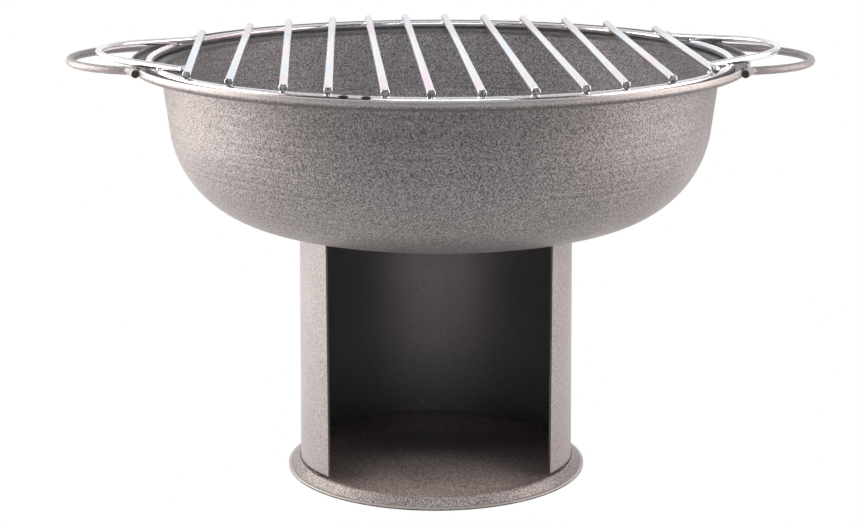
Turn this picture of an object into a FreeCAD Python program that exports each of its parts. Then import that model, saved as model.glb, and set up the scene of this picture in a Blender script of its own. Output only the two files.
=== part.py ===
import FreeCAD, Part
import math
import os

Vector = FreeCAD.Vector

# Round charcoal grill: a spun bowl on a C-shaped sheet pedestal and a dished foot plate, with
# two rod handles on the lip and a loose rod grate that lies inside the lip.
# Millimetres, +Z up, origin on the floor at the bowl's axis, pedestal open towards -Y.

# Sheet and rod stock
sheet = 1.2
rod_diameter = 4.75
loop_rod_diameter = 4.0

# Bowl
lip_height = 250.0
lip_radius = 180.0
lip_rise = 4.5
lip_bend = 2.2
flange_width = 17.0
flange_bend = 2.0
wall_draft = 7.0
bowl_depth = 108.0
corner_radius = 62.0
floor_crown_radius = 456.0
vent_diameter = 10.0
vent_count = 6
vent_circle_radius = 38.0

# Pedestal and foot plate, welded on a little off the bowl's axis and turned
pedestal_radius = 81.2
pedestal_flare = 1.3
pedestal_shift = -2.7
pedestal_turn = 2.6
opening_half_width = 65.0
base_rise = 6.3
base_ledge = 1.2
base_slope = 4.5
base_rim = 2.0
base_thickness = 1.5
base_bend = 0.8
base_edge_round = 0.4

# Side handles
handle_reach = 36.7
handle_bow_radius = 54.0
handle_bend = 6.0
handle_foot_angle = 3.5
handle_drop = 2.2

# Grate
ring_play = 6.9
bar_count = 12
outer_bar_share = 0.85
bar_overhang = 2.0
grate_turn = 3.5
loop_reach = 18.5
loop_bend = 54.0
loop_leg_spread = 70.0
loop_rise_angle = 2.5

# The bars are set by hand: how far the front and the rear end of each lies from even spacing
front_drift = [1.6, -1.0, 1.6, -1.6, 1.1, -2.0, -2.3, -0.7, 0.0, -3.9, -2.1, 0.0]
rear_drift = [0.3, 3.0, 1.6, 4.0, 1.6, 0.2, 0.3, -0.2, -1.0, -1.0, -2.3, -1.6]

# Fits: a welded rod is sunk this far into what it is welded to, and the loose grate keeps a
# small gap to the flange that it lies on
weld_sink = 0.35
rest_gap = 0.3

# Derived sizes
rod_radius = rod_diameter / 2
loop_rod_radius = loop_rod_diameter / 2
draft = math.radians(wall_draft)
wall_radius = lip_radius - flange_width
flange_top = lip_height - lip_rise
flange_under = flange_top - sheet
bowl_bottom = lip_height - bowl_depth
foot_radius = pedestal_radius + pedestal_flare
shoulder_radius = foot_radius + base_ledge
rim_radius = shoulder_radius + base_slope
base_radius = rim_radius + base_rim
ring_radius = lip_radius - sheet - ring_play - rod_radius
ring_height = flange_top + rest_gap + rod_radius
bar_height = ring_height + 2 * rod_radius - weld_sink
axis_up = Vector(0, 0, 1)
origin = Vector(0, 0, 0)


def around(centre, radius, angle):
    return Vector(centre.x + radius * math.cos(angle), 0, centre.z + radius * math.sin(angle))


def profile_arc(centre, radius, start, end):
    middle = (start + end) / 2
    ends = [around(centre, radius, angle) for angle in (start, middle, end)]
    return Part.Arc(ends[0], ends[1], ends[2]).toShape()


def profile_line(start, end):
    return Part.LineSegment(start, end).toShape()


def revolved(edges, turn=360):
    face = Part.Face(Part.Wire(Part.__sortEdges__(edges)))
    return face.revolve(origin, axis_up, turn)


def bent_rod(radius, centre, bend_radius, start, end):
    # A round rod bent level about a vertical axis, between two angles in degrees
    middle = centre + Vector(bend_radius, 0, 0)
    section = Part.Face(Part.Wire(Part.Circle(middle, Vector(0, 1, 0), radius).toShape()))
    section.rotate(centre, axis_up, start)
    return section.revolve(centre, axis_up, end - start)


def straight_rod(radius, start, end):
    return Part.makeCylinder(radius, (end - start).Length, start, end - start)


def joined(shapes):
    return shapes[0].multiFuse(shapes[1:]).removeSplitter()


# Bowl profile. The wall leans in by the draft, a corner arc leads into the crowned floor, and
# at the top the wall bends out to the flange, which bends up to the lip.
wall_top = Vector(wall_radius, 0, flange_under)
wall_normal = Vector(math.cos(draft), 0, -math.sin(draft))
wall_down = Vector(-math.sin(draft), 0, -math.cos(draft))
floor_centre = Vector(0, 0, bowl_bottom + floor_crown_radius)
inset_start = wall_top - wall_normal * corner_radius
from_floor = inset_start - floor_centre
along = from_floor.dot(wall_down)
apart = floor_crown_radius - corner_radius
inset_length = -along + math.sqrt(along ** 2 - from_floor.dot(from_floor) + apart ** 2)
corner_centre = inset_start + wall_down * inset_length
corner_line = corner_centre - floor_centre
corner_low = math.atan2(corner_line.z, corner_line.x)
corner_high = -draft
bend_side = flange_bend * (1 - math.sin(draft)) / math.cos(draft)
bend_centre = Vector(wall_radius + bend_side, 0, flange_under - flange_bend)
lip_bend_outer = lip_bend + sheet
lip_centre = Vector(lip_radius - lip_bend_outer, 0, flange_under + lip_bend_outer)
lip_edge = Vector(lip_radius - sheet / 2, 0, lip_height - sheet / 2)


def bowl_side(offset):
    # One face of the sheet, moved inwards from the outer face by the offset
    floor_radius = floor_crown_radius - offset
    corner = corner_radius - offset
    bend = flange_bend + offset
    lip = lip_bend_outer - offset
    lip_side = lip_radius - offset
    wall_start = around(corner_centre, corner, corner_high)
    wall_end = bend_centre - wall_normal * bend
    flange_start = around(bend_centre, bend, math.pi / 2)
    flange_end = around(lip_centre, lip, -math.pi / 2)
    return [
        profile_arc(floor_centre, floor_radius, -math.pi / 2, corner_low),
        profile_arc(corner_centre, corner, corner_low, corner_high),
        profile_line(wall_start, wall_end),
        profile_arc(bend_centre, bend, math.pi - draft, math.pi / 2),
        profile_line(flange_start, flange_end),
        profile_arc(lip_centre, lip, -math.pi / 2, 0),
        profile_line(around(lip_centre, lip, 0), Vector(lip_side, 0, lip_edge.z)),
    ]


outer_side = bowl_side(0)
inner_side = bowl_side(sheet)
rounded_edge = profile_arc(lip_edge, sheet / 2, 0, math.pi)
floor_bottom = Vector(0, 0, bowl_bottom)
floor_top = Vector(0, 0, bowl_bottom + sheet)
bowl = revolved(outer_side + [rounded_edge] + inner_side + [profile_line(floor_top, floor_bottom)])

# The space that the outer face encloses, for seating what is welded on from outside
axis_top = Vector(0, 0, lip_edge.z)
lip_corner = Vector(lip_radius, 0, lip_edge.z)
closing = [profile_line(lip_corner, axis_top), profile_line(axis_top, floor_bottom)]
bowl_blank = revolved(outer_side + closing)

# Vent holes in the floor, one on the axis and the rest on a circle over the pedestal's inside
vent_start = Vector(0, 0, bowl_bottom - sheet)
vent_length = bowl_depth / 2
vents = [Part.makeCylinder(vent_diameter / 2, vent_length, vent_start)]
for index in range(vent_count):
    vent = Part.makeCylinder(vent_diameter / 2, vent_length, vent_start + Vector(vent_circle_radius, 0, 0))
    vent.rotate(origin, axis_up, index * 360 / vent_count)
    vents.append(vent)
bowl = bowl.cut(vents)

# Foot plate: pressed sheet, raised in the middle, with a slope round it down to a flat rim
slope_angle = math.atan2(base_rise - base_thickness, base_slope)
bend_inset = base_thickness * math.tan(slope_angle / 2)
base_under = base_rise - base_thickness
base_corners = [
    Vector(0, 0, base_under),
    Vector(shoulder_radius - bend_inset, 0, base_under),
    Vector(rim_radius - bend_inset, 0, 0),
    Vector(base_radius, 0, 0),
    Vector(base_radius, 0, base_thickness),
    Vector(rim_radius, 0, base_thickness),
    Vector(shoulder_radius, 0, base_rise),
    Vector(0, 0, base_rise),
]
base_sides = [profile_line(base_corners[index - 1], base_corners[index]) for index in range(8)]
base_disc = revolved(base_sides)


def rings(shape, corner):
    # The circular edges of a shape that run through a corner of its profile
    circles = [edge for edge in shape.Edges if isinstance(edge.Curve, Part.Circle)]
    return [edge for edge in circles if (edge.Vertexes[0].Point - corner).Length < base_edge_round / 10]


outside_bend = base_bend + base_thickness
under_rounds = [base_bend, outside_bend, base_edge_round]
top_rounds = [base_edge_round, base_bend, outside_bend]
for corner, rounding in zip(base_corners[1:], under_rounds + top_rounds):
    base_disc = base_disc.makeFillet(rounding, rings(base_disc, corner))
pedestal_centre = Vector(pedestal_shift, 0, 0)
base_disc.translate(pedestal_centre)

# Pedestal: sheet rolled to a C that widens a little to its foot, with its top edge trimmed to
# the bowl's floor
pedestal_top = bowl_bottom + pedestal_radius / 2
corners = [
    Vector(foot_radius - sheet, 0, base_rise),
    Vector(foot_radius, 0, base_rise),
    Vector(pedestal_radius, 0, pedestal_top),
    Vector(pedestal_radius - sheet, 0, pedestal_top),
]
sides = [profile_line(corners[index - 1], corners[index]) for index in range(4)]
pedestal = revolved(sides)

# The opening is as wide at the foot as at the top, so the wedge that clears it leans forward
top_depth = math.sqrt(pedestal_radius ** 2 - opening_half_width ** 2)
lean = math.sqrt(foot_radius ** 2 - opening_half_width ** 2) - top_depth
apex = Vector(0, -lean, base_rise)
wedge_side = Vector(2 * opening_half_width, -2 * top_depth, 0)
across = Vector(-4 * opening_half_width, 0, 0)
wedge = Part.Face(Part.makePolygon([apex, apex + wedge_side, apex + wedge_side + across, apex]))
pedestal = pedestal.cut(wedge.extrude(Vector(0, lean, pedestal_top - base_rise)))
pedestal.rotate(origin, axis_up, pedestal_turn)
pedestal.translate(pedestal_centre)
pedestal = pedestal.cut(bowl_blank)


def side_handle():
    # A level bow with both feet turned outwards along the lip, where they are welded on
    foot_radius = lip_radius + rod_radius - weld_sink
    height = lip_height - handle_drop
    level = Vector(0, 0, height)
    bow_x = lip_radius + handle_reach - handle_bow_radius
    bend_out = foot_radius + handle_bend
    bend_gap = handle_bow_radius + handle_bend
    cosine = (bend_out ** 2 + bow_x ** 2 - bend_gap ** 2) / (2 * bend_out * bow_x)
    foot_start = math.degrees(math.acos(cosine))
    bend_x = bend_out * cosine
    bend_y = bend_out * math.sqrt(1 - cosine ** 2)
    bow_end = math.degrees(math.atan2(bend_y, bend_x - bow_x))
    rod = [bent_rod(rod_radius, Vector(bow_x, 0, height), handle_bow_radius, -bow_end, bow_end)]
    for side in (1, -1):
        bend = Vector(bend_x, side * bend_y, height)
        turns = sorted((side * (bow_end + 180), side * (foot_start + 180)))
        foot = sorted((side * foot_start, side * (foot_start + handle_foot_angle)))
        rod.append(bent_rod(rod_radius, bend, handle_bend, turns[0], turns[1]))
        rod.append(bent_rod(rod_radius, level, foot_radius, foot[0], foot[1]))
    return joined(rod).cut(bowl_blank)


handle_right = side_handle()
handle_left = handle_right.copy()
handle_left.rotate(origin, axis_up, 180)

# Grate ring and bars, the bars lying across the top of the ring
ring = Part.makeTorus(ring_radius, rod_radius, Vector(0, 0, ring_height))
outer_bar = outer_bar_share * ring_radius
bar_pitch = 2 * outer_bar / (bar_count - 1)


def bar_end(index, drift, side):
    x = index * bar_pitch - outer_bar + drift[index % len(drift)]
    return Vector(x, side * math.sqrt((ring_radius + bar_overhang) ** 2 - x ** 2), bar_height)


bars = []
for index in range(bar_count):
    start = bar_end(index, front_drift, -1)
    end = bar_end(index, rear_drift, 1)
    bars.append(straight_rod(rod_radius, start, end).cut(ring))


def lifting_loop():
    # A wide bow on straight legs, which cross the ring, rise outwards from there and end at the
    # outermost bar
    height = ring_height + rod_radius + loop_rod_radius - weld_sink
    bend_centre = Vector(lip_radius + loop_reach - loop_bend, 0, height)
    corner = Vector(outer_bar, loop_leg_spread, height)
    reach = corner - bend_centre
    leg_angle = math.atan2(reach.y, reach.x) - math.acos(loop_bend / reach.Length)
    turn = Vector(math.cos(leg_angle), math.sin(leg_angle), 0)
    bend_end = bend_centre + turn * loop_bend
    leg = (bend_end - corner).normalize()
    inside = corner.x * leg.x + corner.y * leg.y
    outside = ring_radius ** 2 - corner.x ** 2 - corner.y ** 2
    crossing = corner + leg * (math.sqrt(inside ** 2 + outside) - inside)
    sweep = math.degrees(leg_angle)
    rod = [bent_rod(loop_rod_radius, bend_centre, loop_bend, -sweep, sweep)]
    for side in (1, -1):
        leg_start = Vector(bend_end.x, side * bend_end.y, height)
        leg_end = Vector(corner.x, side * corner.y, height)
        rod.append(straight_rod(loop_rod_radius, leg_start, leg_end))
    loop = joined(rod)
    loop.rotate(Vector(crossing.x, 0, height), Vector(0, 1, 0), -loop_rise_angle)
    return loop


loop_right = lifting_loop()
loop_left = loop_right.copy()
loop_left.rotate(origin, axis_up, 180)
loop_right = loop_right.cut(ring).cut(bars[-1])
loop_left = loop_left.cut(ring).cut(bars[0])

nodes = {
    "bowl": bowl,
    "pedestal": pedestal,
    "base_disc": base_disc,
    "handle_right": handle_right,
    "handle_left": handle_left,
}
grate = {
    "grate_ring": ring,
    "grate_loop_right": loop_right,
    "grate_loop_left": loop_left,
}
for index, bar in enumerate(bars):
    grate["grate_bar_%02d" % (index + 1)] = bar
for name, shape in grate.items():
    shape.rotate(origin, axis_up, grate_turn)
    nodes[name] = shape

os.makedirs("parts", exist_ok=True)
for name, shape in nodes.items():
    solid = shape.Solids[0]
    solid.exportStep("parts/%s.step" % name)
    print(name, "solids", len(shape.Solids), "valid", solid.isValid(), "volume", round(solid.Volume, 1))
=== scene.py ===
import math
import bmesh
import bpy
from mathutils import Matrix, Vector


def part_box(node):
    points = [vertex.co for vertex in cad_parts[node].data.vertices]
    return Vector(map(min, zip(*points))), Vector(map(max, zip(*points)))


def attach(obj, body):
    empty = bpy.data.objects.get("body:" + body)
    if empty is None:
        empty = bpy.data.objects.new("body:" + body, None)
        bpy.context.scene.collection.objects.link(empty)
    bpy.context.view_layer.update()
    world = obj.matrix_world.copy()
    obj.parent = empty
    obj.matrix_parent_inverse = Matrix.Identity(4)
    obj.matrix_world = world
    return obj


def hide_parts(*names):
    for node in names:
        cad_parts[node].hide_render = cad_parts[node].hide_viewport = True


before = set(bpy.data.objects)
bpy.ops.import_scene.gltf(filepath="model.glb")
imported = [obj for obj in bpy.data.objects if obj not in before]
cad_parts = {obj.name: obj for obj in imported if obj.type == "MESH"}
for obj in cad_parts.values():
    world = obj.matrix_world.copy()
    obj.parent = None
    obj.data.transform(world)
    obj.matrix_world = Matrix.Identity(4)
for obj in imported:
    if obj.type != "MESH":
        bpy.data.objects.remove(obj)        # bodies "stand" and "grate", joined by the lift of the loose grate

scene = bpy.context.scene
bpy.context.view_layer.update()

# where the CAD put the main pieces, in metres
bowlLow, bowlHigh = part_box("bowl")
plateLow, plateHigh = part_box("base_disc")
pedestalLow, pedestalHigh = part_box("pedestal")
ringLow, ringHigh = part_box("grate_ring")
standCentre = (plateLow.x + plateHigh.x) / 2
pedestalRadius = pedestalHigh.x - standCentre
lipRadius = bowlHigh.x
lipHeight = bowlHigh.z
rodRadius = (ringHigh.z - ringLow.z) / 2
ringRadius = (ringHigh.x - ringLow.x) / 2 - rodRadius
ringHeight = (ringHigh.z + ringLow.z) / 2
mergeGap = 1e-6        # points closer than this are one point
repeatGap = 1e-7


# node tree helpers

def put(tree, kind, inputs=None, **settings):
    # one node; an input takes a plain value or the socket of an earlier node
    node = tree.nodes.new(kind)
    for name, value in settings.items():
        setattr(node, name, value)
    for key, value in (inputs or {}).items():
        if isinstance(value, bpy.types.NodeSocket):
            tree.links.new(value, node.inputs[key])
        else:
            node.inputs[key].default_value = value
    return node


def calc(tree, operation, first, second=0.0, third=0.0):
    node = put(tree, "ShaderNodeMath", {0: first, 1: second, 2: third}, operation=operation)
    return node.outputs[0]


def times(tree, first, *others):
    product = first
    for other in others:
        product = calc(tree, "MULTIPLY", product, other)
    return product


def squares(tree, first, second):
    return calc(tree, "ADD", calc(tree, "POWER", first, 2.0), calc(tree, "POWER", second, 2.0))


def vectorCalc(tree, operation, first, second):
    slot = "Scale" if operation == "SCALE" else 1
    node = put(tree, "ShaderNodeVectorMath", {0: first, slot: second}, operation=operation)
    return node.outputs["Value" if operation in ("DOT_PRODUCT", "DISTANCE") else "Vector"]


def scaled(tree, vector, factor):
    return vectorCalc(tree, "SCALE", vector, factor)


def axes(tree, vector):
    return put(tree, "ShaderNodeSeparateXYZ", {"Vector": vector}).outputs


def joinAxes(tree, x=0.0, y=0.0, z=0.0):
    return put(tree, "ShaderNodeCombineXYZ", {"X": x, "Y": y, "Z": z}).outputs[0]


def remap(tree, value, span, result, smooth=False):
    kind = "SMOOTHSTEP" if smooth else "LINEAR"
    inputs = {"Value": value, "From Min": span[0], "From Max": span[1],
              "To Min": result[0], "To Max": result[1]}
    return put(tree, "ShaderNodeMapRange", inputs, interpolation_type=kind).outputs["Result"]


def rise(tree, value, span, top=1.0):
    # climbs smoothly from nothing to the top over the span, or falls where the span is given backwards
    return remap(tree, value, span, (0.0, top), True)


def offsetSpan(level, span):
    return level + span[0], level + span[1]


def noise(tree, place, scale, detail, **more):
    inputs = {"Vector": place, "Scale": scale, "Detail": detail, **more}
    return put(tree, "ShaderNodeTexNoise", inputs).outputs[0]


def mixColor(tree, factor, first, second, blend="MIX"):
    inputs = {"Factor": factor, 6: first, 7: second}
    return put(tree, "ShaderNodeMix", inputs, data_type="RGBA", blend_type=blend).outputs[2]


def darken(tree, color, mask, shade):
    # the colour times the shade where the mask is full
    return scaled(tree, color, remap(tree, mask, (0.0, 1.0), (1.0, shade)))


socketKinds = {
    "Geometry": "Geometry", "Material": "Material", "Vector": "Vector", "Across": "Vector",
    "Centre": "Vector", "Color": "Color", "Dark": "Color", "Light": "Color", "Count": "Int", "Sides": "Int",
    "Steps": "Int",
}


def newTree(name, kind, inputs, outputs):
    # sockets are numbers unless their label is listed above
    tree = bpy.data.node_groups.new(name, kind)
    for labels, way in ((inputs, "INPUT"), (outputs, "OUTPUT")):
        for label in labels:
            socketType = "NodeSocket" + socketKinds.get(label, "Float")
            tree.interface.new_socket(label, in_out=way, socket_type=socketType)
    return tree, tree.nodes.new("NodeGroupInput").outputs, tree.nodes.new("NodeGroupOutput").inputs


def giveOut(tree, out, results):
    for label, socket in results.items():
        tree.links.new(socket, out[label])
    return tree


# shader groups

paintValues = {
    "tone": (0.243, 0.239, 0.246), "coatRough": 0.3, "metal": (0.35, 0.8), "cutShade": 0.14,
    "grainSize": 0.00086, "grainDepth": 0.00003, "grainSpan": (0.28, 0.72), "coreSpan": (0.45, 0.2),
    "flakeFrom": 0.93, "flakeMix": 0.5, "flakeLift": 0.3, "flakeColor": (0.72, 0.72, 0.72, 1),
    "pitUpTo": 0.03, "pitMix": 0.6, "pitColor": (0.05, 0.048, 0.047, 1),
    "patchScale": 26.0, "patchSpan": (0.3, 0.7), "patchRough": (0.5, 0.42),
    "ringPitch": 0.0026, "ringDepth": 0.00011, "ringTone": 0.13, "ringSpan": (0.3, 0.7), "ringLean": 0.8,
    "fadeScale": 14.0, "fadeSpan": (0.38, 0.58),
}
zincValues = {
    "barTint": 0.9, "ringTint": 0.35, "skinDepth": 0.000006, "skinRough": (0.22, 0.17),
    "darkSkin": (0.80, 0.795, 0.825, 1), "lightSkin": (0.91, 0.905, 0.925, 1),
    "streakRun": 22.0, "streakAcross": 4.5, "streakRough": 0.65, "streakSpan": (0.3, 0.7),
    "cloudScale": 17.0, "pinkSpan": (0.52, 0.66), "pinkColor": (0.93, 0.76, 0.88, 1),
    "blueSpan": (0.47, 0.33), "blueColor": (0.76, 0.84, 0.92, 1),
    "bloomScale": 420.0, "bloomSpan": (0.4, 0.7), "bloomRough": 0.06, "bloomLift": 0.35,
    "sawnScale": 620.0, "sawnSpan": (0.36, 0.64), "cutDark": (0.12, 0.135, 0.15, 1),
    "cutLight": (0.72, 0.75, 0.78, 1), "cutRough": 0.5, "cutMetal": 0.25,
    "gapShadowColor": (0.012, 0.012, 0.014, 1), "markSize": (0.003, 0.004, 0.0013), "markLump": 0.5,
    "markSpan": (1.35, 0.95),
}


def buildPaintGrain():
    # hammered flake paint: a fine even grain with a few bright flakes and dark pits
    look = paintValues
    inputs = ("Vector", "Grain Size", "Dark", "Light", "Blotch")
    tree, given, out = newTree("paintGrain", "ShaderNodeTree", inputs, ("Color", "Rough", "Flake", "Height"))
    fine = scaled(tree, given["Vector"], calc(tree, "DIVIDE", 1.0, given["Grain Size"]))
    grain = noise(tree, fine, scale=1.0, detail=0.0)
    color = mixColor(tree, remap(tree, grain, look["grainSpan"], (0.0, 1.0)), given["Dark"], given["Light"])
    cells = put(tree, "ShaderNodeTexVoronoi", {"Vector": fine, "Scale": 1.0, "Randomness": 1.0}).outputs
    cell = put(tree, "ShaderNodeSeparateColor", {"Color": cells["Color"]}).outputs["Red"]
    core = rise(tree, cells["Distance"], look["coreSpan"])
    flake = times(tree, calc(tree, "GREATER_THAN", cell, look["flakeFrom"]), core)
    pit = times(tree, calc(tree, "LESS_THAN", cell, look["pitUpTo"]), core)
    color = mixColor(tree, times(tree, flake, look["flakeMix"]), color, look["flakeColor"])
    color = mixColor(tree, times(tree, pit, look["pitMix"]), color, look["pitColor"])
    patch = noise(tree, given["Vector"], look["patchScale"], detail=3.0)
    shade = calc(tree, "MULTIPLY_ADD", calc(tree, "SUBTRACT", patch, 0.5), given["Blotch"], 1.0)
    height = calc(tree, "MULTIPLY_ADD", flake, look["flakeLift"], grain)
    return giveOut(tree, out, {
        "Color": scaled(tree, color, shade), "Flake": flake,
        "Rough": remap(tree, patch, look["patchSpan"], look["patchRough"]),
        "Height": calc(tree, "SUBTRACT", height, pit)})


def buildSpinLines():
    # faint rings that the spinning tool leaves round the axis
    look = paintValues
    tree, given, out = newTree("spinLines", "ShaderNodeTree", ("Vector", "Ring Pitch"), ("Height",))
    place = axes(tree, given["Vector"])
    across = calc(tree, "SQRT", squares(tree, place["X"], place["Y"]))
    along = calc(tree, "MULTIPLY_ADD", across, look["ringLean"], place["Z"])
    along = calc(tree, "DIVIDE", along, given["Ring Pitch"])
    lines = put(tree, "ShaderNodeTexNoise", {"W": along, "Scale": 1.0, "Detail": 2.0}, noise_dimensions="1D")
    fade = noise(tree, given["Vector"], look["fadeScale"], detail=1.0)
    strength = rise(tree, fade, look["fadeSpan"])
    lines = calc(tree, "SUBTRACT", lines.outputs[0], 0.5)
    return giveOut(tree, out, {"Height": calc(tree, "MULTIPLY_ADD", lines, strength, 0.5)})


def buildZincSkin():
    # drawn wire under a clear passivate: streaks along the rod and faint pink and blue bands
    look = zincValues
    tree, given, out = newTree("zincSkin", "ShaderNodeTree", ("Vector", "Run", "Across", "Tint"),
                               ("Color", "Rough", "Height"))
    drawn = joinAxes(tree, x=times(tree, given["Run"], look["streakRun"]))
    drawn = vectorCalc(tree, "ADD", scaled(tree, given["Across"], look["streakAcross"]), drawn)
    streak = noise(tree, drawn, scale=1.0, detail=4.0, Roughness=look["streakRough"])
    cloud = noise(tree, given["Vector"], look["cloudScale"], detail=2.0)
    bloom = noise(tree, given["Vector"], look["bloomScale"], detail=2.0)
    streaked = remap(tree, streak, look["streakSpan"], (0.0, 1.0))
    color = mixColor(tree, streaked, look["darkSkin"], look["lightSkin"])
    color = mixColor(tree, rise(tree, cloud, look["pinkSpan"], given["Tint"]), color, look["pinkColor"])
    color = mixColor(tree, rise(tree, cloud, look["blueSpan"], given["Tint"]), color, look["blueColor"])
    rough = calc(tree, "ADD", remap(tree, streak, look["streakSpan"], look["skinRough"]),
                 remap(tree, bloom, look["bloomSpan"], (0.0, look["bloomRough"])))
    height = calc(tree, "MULTIPLY_ADD", bloom, look["bloomLift"], streak)
    return giveOut(tree, out, {"Color": color, "Rough": rough, "Height": height})


paintGrain = buildPaintGrain()
spinLines = buildSpinLines()
zincSkin = buildZincSkin()
print("shader groups built")


# materials

def newMaterial(name):
    material = bpy.data.materials.new(name)
    material.use_nodes = True
    tree = material.node_tree
    tree.nodes.clear()
    shader = put(tree, "ShaderNodeBsdfPrincipled")
    put(tree, "ShaderNodeOutputMaterial", {"Surface": shader.outputs[0]})
    place = put(tree, "ShaderNodeTexCoord").outputs["Object"]
    return material, tree, shader, place


def placeGroup(tree, group, inputs):
    return put(tree, "ShaderNodeGroup", inputs, node_tree=group).outputs


def pieceValue(tree, name, output="Fac"):
    return put(tree, "ShaderNodeAttribute", attribute_name=name).outputs[output]


def makeBump(tree, height, depth):
    return put(tree, "ShaderNodeBump", {"Height": height, "Strength": 1.0, "Distance": depth})


def makePaint(name, contrast, blotch, lift=1.0, coat=0.35, spun=False, cutEnds=False, shade=None):
    look = paintValues
    material, tree, shader, place = newMaterial(name)
    lifts = (lift * (1 - contrast), lift * (1 + contrast))
    dark, light = [tuple(level * value for value in look["tone"]) + (1,) for level in lifts]
    grain = placeGroup(tree, paintGrain, {
        "Vector": place, "Grain Size": look["grainSize"], "Dark": dark, "Light": light, "Blotch": blotch})
    color = grain["Color"]
    normal = makeBump(tree, grain["Height"], look["grainDepth"])
    if cutEnds:
        color = darken(tree, color, pieceValue(tree, "cutEnd"), look["cutShade"])
    if spun:
        rings = placeGroup(tree, spinLines, {"Vector": place, "Ring Pitch": look["ringPitch"]})["Height"]
        tones = (1.0 - look["ringTone"], 1.0 + look["ringTone"])
        color = scaled(tree, color, remap(tree, rings, look["ringSpan"], tones))
        turned = makeBump(tree, rings, look["ringDepth"])
        tree.links.new(turned.outputs[0], normal.inputs["Normal"])
    if shade:
        color = shade(tree, place, color)
    metal = remap(tree, grain["Flake"], (0.0, 1.0), look["metal"])
    giveOut(tree, shader.inputs, {
        "Base Color": color, "Roughness": grain["Rough"], "Metallic": metal, "Normal": normal.outputs[0]})
    shader.inputs["Coat Weight"].default_value = coat
    shader.inputs["Coat Roughness"].default_value = look["coatRough"]
    return material


def makeZinc(name, tint, marks=()):
    look = zincValues
    material, tree, shader, place = newMaterial(name)
    cut = pieceValue(tree, "cutEnd")
    skin = placeGroup(tree, zincSkin, {
        "Vector": place, "Run": pieceValue(tree, "rodRun"), "Across": pieceValue(tree, "rodAcross", "Vector"),
        "Tint": tint})
    sawn = noise(tree, place, look["sawnScale"], detail=2.0)
    face = mixColor(tree, remap(tree, sawn, look["sawnSpan"], (0.0, 1.0)), look["cutDark"], look["cutLight"])
    color = mixColor(tree, cut, skin["Color"], face)
    metal = remap(tree, cut, (0.0, 1.0), (1.0, look["cutMetal"]))
    for spot in marks:        # painted shadow: dark spots where gaps under the ring show shade
        away = vectorCalc(tree, "DIVIDE", vectorCalc(tree, "SUBTRACT", place, spot), look["markSize"])
        far = vectorCalc(tree, "DISTANCE", away, (0, 0, 0))
        mark = rise(tree, calc(tree, "MULTIPLY_ADD", sawn, look["markLump"], far), look["markSpan"])
        color = mixColor(tree, mark, color, look["gapShadowColor"])
        metal = times(tree, metal, remap(tree, mark, (0.0, 1.0), (1.0, 0.0)))
    rough = put(tree, "ShaderNodeMix", {0: cut, 2: skin["Rough"], 3: look["cutRough"]}, data_type="FLOAT")
    normal = makeBump(tree, skin["Height"], look["skinDepth"])
    giveOut(tree, shader.inputs, {
        "Base Color": color, "Roughness": rough.outputs[0], "Metallic": metal, "Normal": normal.outputs[0]})
    return material


weldPaint = makePaint("weldPaint", contrast=0.5, blotch=0.4, lift=0.55, coat=0.1)
rodPaint = makePaint("rodPaint", contrast=0.25, blotch=0.3, lift=1.15, cutEnds=True)
brightZinc = makeZinc("brightZinc", zincValues["barTint"])
print("materials built")


# geometry node trees

def geo(tree, kind, inputs=None, **settings):
    # one geometry node, giving its first output
    return put(tree, "GeometryNode" + kind, inputs, **settings).outputs[0]


def geometryTree(name, *inputs):
    return newTree(name, "GeometryNodeTree", ("Geometry", *inputs, "Material"), ("Geometry",))


def smoothByAngle(tree, geometry, angle=35.0):
    faces = geo(tree, "SetShadeSmooth", {"Geometry": geometry, "Shade Smooth": True}, domain="FACE")
    fold = put(tree, "GeometryNodeInputMeshEdgeAngle").outputs["Unsigned Angle"]
    soft = put(tree, "FunctionNodeCompare", {0: fold, 1: math.radians(angle)}, operation="LESS_THAN")
    return geo(tree, "SetShadeSmooth", {"Geometry": faces, "Shade Smooth": soft.outputs[0]}, domain="EDGE")


def closeTree(tree, given, out, geometry):
    real = geo(tree, "RealizeInstances", {"Geometry": geometry})
    painted = geo(tree, "SetMaterial", {"Geometry": real, "Material": given["Material"]})
    return giveOut(tree, out, {"Geometry": painted})


def buildSpunSheetTree():
    # the profile runs in the tree's X and Y, X being the distance from the axis less the path radius
    tree, given, out = geometryTree("spunSheetTree", "Path Radius", "Steps")
    profile = geo(tree, "MeshToCurve", {"Mesh": given["Geometry"]})
    path = geo(tree, "CurvePrimitiveCircle", {"Resolution": given["Steps"], "Radius": given["Path Radius"]})
    spun = geo(tree, "CurveToMesh", {"Curve": path, "Profile Curve": profile})
    merged = geo(tree, "MergeByDistance", {"Geometry": spun, "Distance": mergeGap})
    return closeTree(tree, given, out, smoothByAngle(tree, merged))


def buildVentTree():
    # a ring of round holes punched through the floor
    tree, given, out = geometryTree("ventTree", "Count", "Circle Radius", "Hole Radius", "Sides", "Depth",
                                    "Height")
    ring = geo(tree, "CurvePrimitiveCircle", {"Resolution": given["Count"], "Radius": given["Circle Radius"]})
    punch = geo(tree, "MeshCylinder", {
        "Vertices": given["Sides"], "Radius": given["Hole Radius"], "Depth": given["Depth"]})
    punches = geo(tree, "InstanceOnPoints", {"Points": ring, "Instance": punch})
    lift = joinAxes(tree, z=given["Height"])
    punches = geo(tree, "Transform", {"Geometry": punches, "Translation": lift})
    punches = geo(tree, "RealizeInstances", {"Geometry": punches})
    cut = geo(tree, "MeshBoolean", {"Mesh 1": given["Geometry"], "Mesh 2": punches},
              operation="DIFFERENCE", solver="EXACT")
    return closeTree(tree, given, out, smoothByAngle(tree, cut))


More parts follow.
